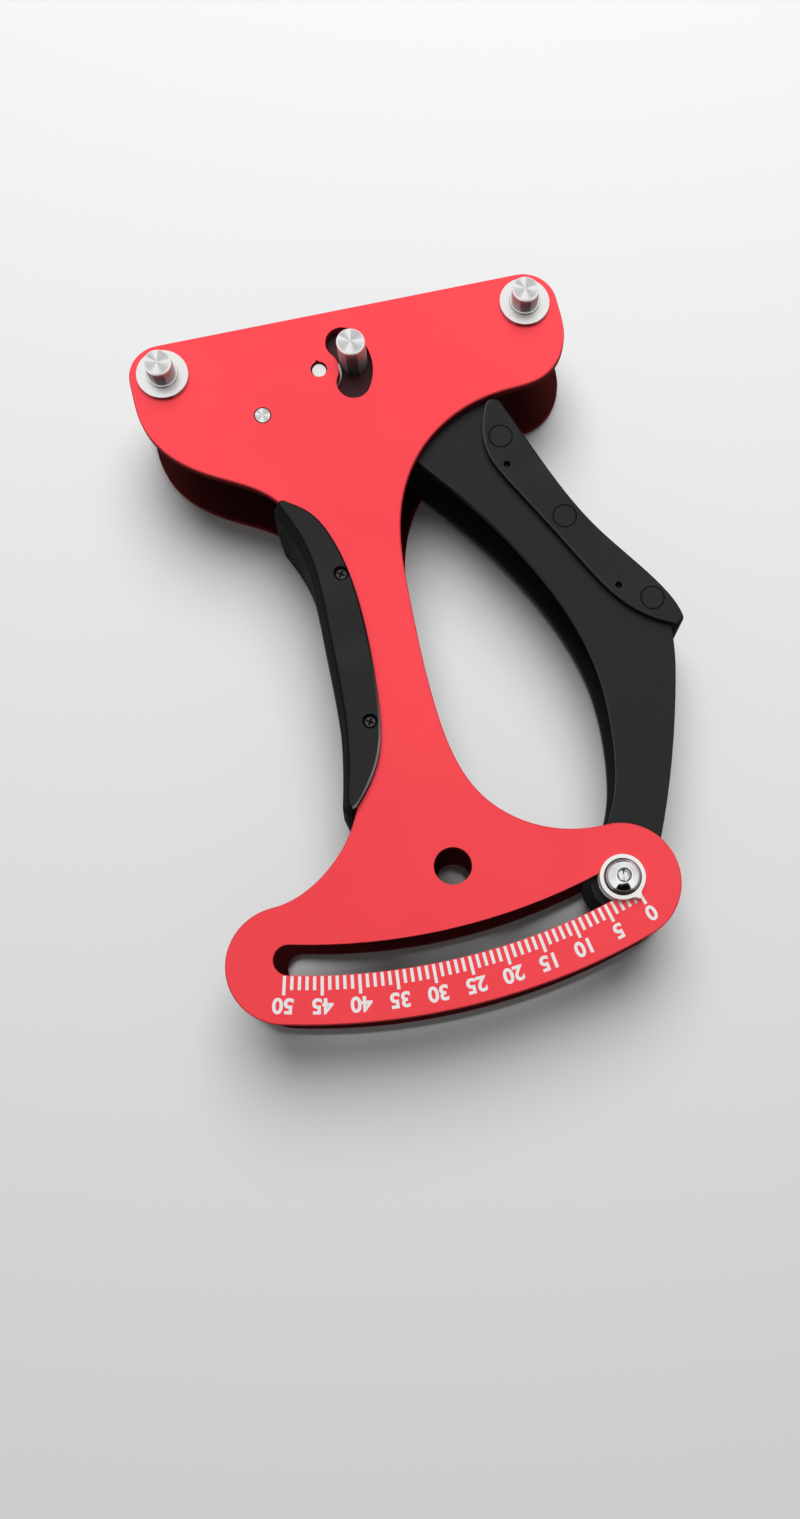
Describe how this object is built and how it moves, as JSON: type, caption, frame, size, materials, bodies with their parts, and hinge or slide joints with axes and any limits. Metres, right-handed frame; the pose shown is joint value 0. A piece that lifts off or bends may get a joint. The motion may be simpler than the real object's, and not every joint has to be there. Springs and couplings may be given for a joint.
{
  "type": "spoke tension meter",
  "caption": "Hand-held spoke tension meter: waisted red plates with posts on the head, black grips and a sprung squeeze lever whose pointer rides in a curved slot beside a scale.",
  "frame": {"origin": "centre of the hanging hole on the rear plate's outer face", "axes": "+Z towards the front, along the posts; +Y from the hanging hole towards the head; +X to the side of the moving grip"},
  "size_m": [0.1408, 0.1962, 0.0298],
  "materials": {
    "red_anodised": "satin",
    "black_lever": "satin",
    "grip_plastic": "fine grained",
    "turned_steel": "turned",
    "polished_screw": "polished",
    "spring_steel": "drawn wire",
    "black_screw": "black oxide"
  },
  "bodies": {
    "body": {"front_plate": "red_anodised", "rear_plate": "red_anodised", "left_post": "turned_steel", "right_post": "turned_steel", "left_spacer": "turned_steel", "right_spacer": "turned_steel", "post_screws": "black_screw", "pivot_pin": "turned_steel", "spring_anchor": "turned_steel", "torsion_spring": "spring_steel", "grip_left_front": "grip_plastic", "grip_left_rear": "grip_plastic", "grip_left_screws": "black_screw"},
    "lever": {"lever_front_plate": "black_lever", "lever_rear_plate": "black_lever", "pivot_bush": "turned_steel", "front_thrust_washer": "turned_steel", "rear_thrust_washer": "turned_steel", "moving_post": "turned_steel", "moving_post_spacer": "turned_steel", "grip_right_front": "grip_plastic", "grip_right_rear": "grip_plastic", "grip_right_screws": "black_screw", "pointer_standoff": "turned_steel", "slide_collar": "turned_steel", "pointer": "turned_steel", "pointer_screw": "polished_screw"}
  },
  "joints": [
    {"name": "lever_pivot", "type": "hinge", "parent": "body", "child": "lever", "pos_m": [-0.0021, 0.14345, 0.012], "axis": [0, 0, -1], "range_deg": [0, 31.4], "stiffness_Nm_per_rad": 1.1, "springref_deg": -51.57, "deforming": ["torsion_spring"]}
  ]
}
